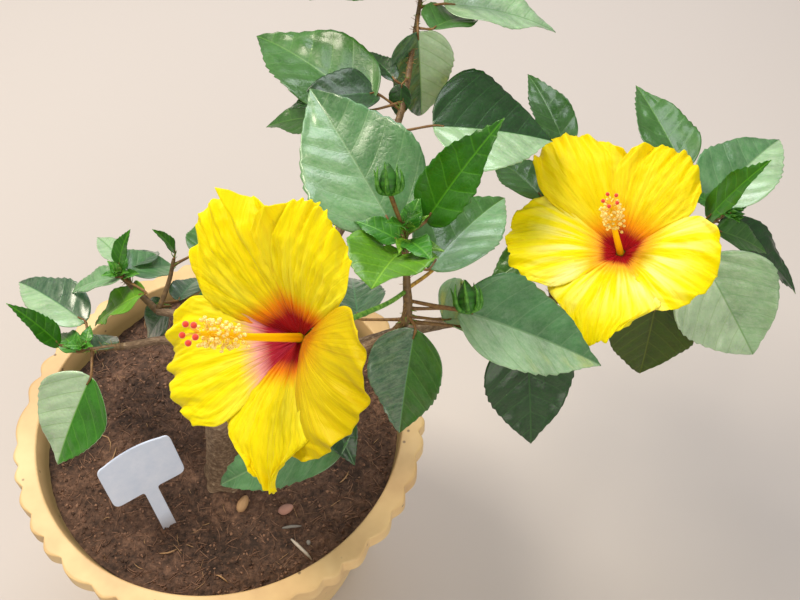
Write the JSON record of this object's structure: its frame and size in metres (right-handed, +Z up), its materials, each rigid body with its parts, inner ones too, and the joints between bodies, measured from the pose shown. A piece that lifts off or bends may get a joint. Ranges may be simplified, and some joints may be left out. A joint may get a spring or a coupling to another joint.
{
  "type": "hibiscus shrub in a patio pot",
  "caption": "Potted hibiscus shrub with a short trunk, spreading boughs, oval toothed leaves and large open yellow flowers, in a round tapering pot with a scalloped rim.",
  "frame": {"origin": "centre of the pot's flat underside, on the surface that the pot stands on", "axes": "+Z up along the pot's axis; +Y away from the side the plant is seen from in the picture; +X to the right, towards the side where the boughs reach furthest"},
  "size_m": [0.5994, 0.4662, 0.5044],
  "materials": {
    "pot_plastic": "satin moulded polypropylene, cream to tan",
    "potting_mix": "damp peat and bark fibre, rough",
    "tag_plastic": "smooth white polystyrene",
    "bark": "thin grey-brown bark, matt",
    "petal": "thin, crinkled, soft sheen",
    "leaf": "waxy, semi-gloss"
  },
  "bodies": {
    "root": {"pot": "pot_plastic", "soil": "potting_mix", "tag": "tag_plastic", "trunk": "bark", "bough_centre": "bark", "bough_right": "bark", "bough_rear": "bark", "bough_left": "bark", "bough_left_low": "bark", "bloom_left": "petal", "bloom_right": "petal", "mass_centre": "leaf", "mass_rear": "leaf", "mass_rear_right": "leaf", "mass_right": "leaf", "mass_left": "leaf", "mass_left_low": "leaf", "mass_front": "leaf", "mass_inner": "leaf"}
  },
  "joints": []
}
